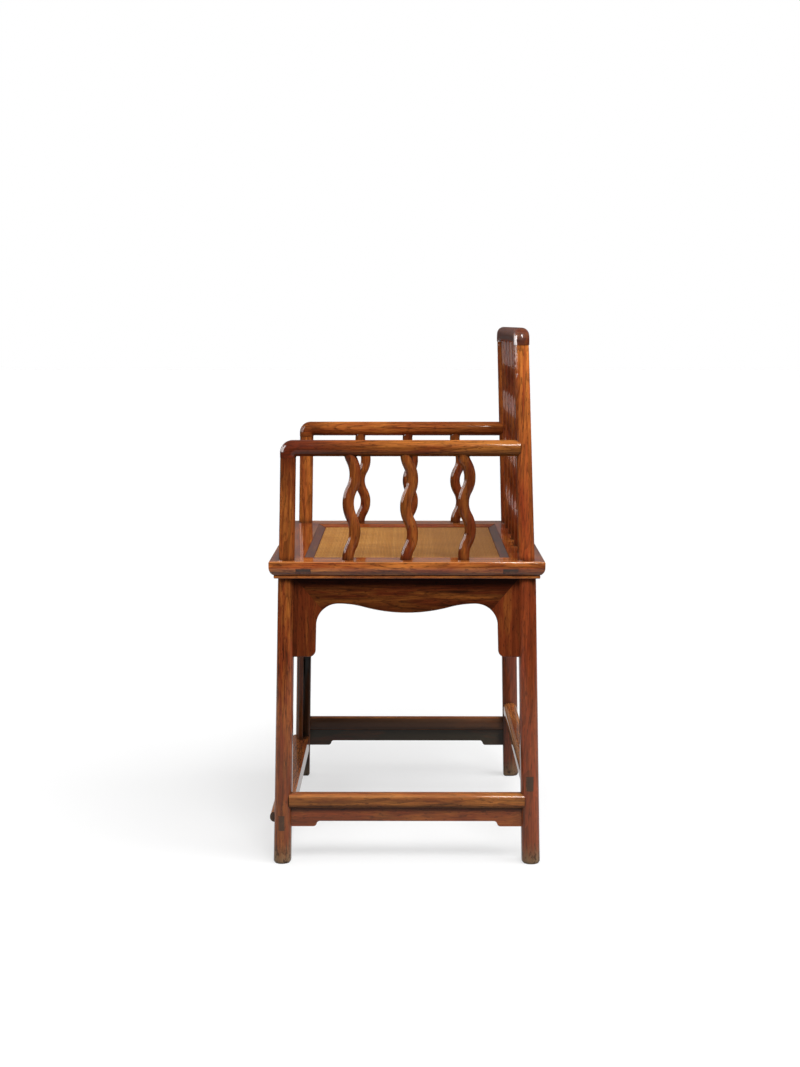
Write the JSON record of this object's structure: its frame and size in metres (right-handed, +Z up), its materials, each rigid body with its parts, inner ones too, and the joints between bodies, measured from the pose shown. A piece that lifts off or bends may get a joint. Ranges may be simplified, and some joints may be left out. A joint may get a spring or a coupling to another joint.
{
  "type": "low-back armchair",
  "caption": "Low-back hardwood armchair with wavy spindles below the arm and crest rails, arched aprons, stepped stretchers, a footrest and a woven cane seat.",
  "frame": {"origin": "on the floor below the middle of the chair", "axes": "+Z up, the front faces -Y, +X towards the sitter's left arm"},
  "size_m": [0.58, 0.4438, 0.866],
  "materials": {
    "hardwood": "polished, worn",
    "cane": "fine woven cane",
    "palm_fibre": "twisted fibre cord"
  },
  "bodies": {
    "root": {"arm_rail_left": "hardwood", "arm_rail_right": "hardwood", "arm_spindle_left_1": "hardwood", "arm_spindle_left_2": "hardwood", "arm_spindle_left_3": "hardwood", "arm_spindle_right_1": "hardwood", "arm_spindle_right_2": "hardwood", "arm_spindle_right_3": "hardwood", "back_apron": "hardwood", "back_post_left": "hardwood", "back_post_right": "hardwood", "back_spandrel_left": "hardwood", "back_spandrel_right": "hardwood", "back_spindle_1": "hardwood", "back_spindle_2": "hardwood", "back_spindle_3": "hardwood", "back_spindle_4": "hardwood", "back_spindle_5": "hardwood", "back_stretcher": "hardwood", "cane_mat": "cane", "crest_rail": "hardwood", "footrest": "hardwood", "footrest_strip": "hardwood", "front_apron": "hardwood", "front_post_left": "hardwood", "front_post_right": "hardwood", "front_spandrel_left": "hardwood", "front_spandrel_right": "hardwood", "mat_strip_back": "hardwood", "mat_strip_front": "hardwood", "mat_strip_left": "hardwood", "mat_strip_right": "hardwood", "palm_webbing": "palm_fibre", "seat_brace_left": "hardwood", "seat_brace_right": "hardwood", "seat_rail_back": "hardwood", "seat_rail_front": "hardwood", "seat_rail_left": "hardwood", "seat_rail_right": "hardwood", "side_apron_left": "hardwood", "side_apron_right": "hardwood", "side_spandrel_left_back": "hardwood", "side_spandrel_left_front": "hardwood", "side_spandrel_right_back": "hardwood", "side_spandrel_right_front": "hardwood", "side_stretcher_left": "hardwood", "side_stretcher_right": "hardwood", "stretcher_strip_left": "hardwood", "stretcher_strip_right": "hardwood"}
  },
  "joints": []
}
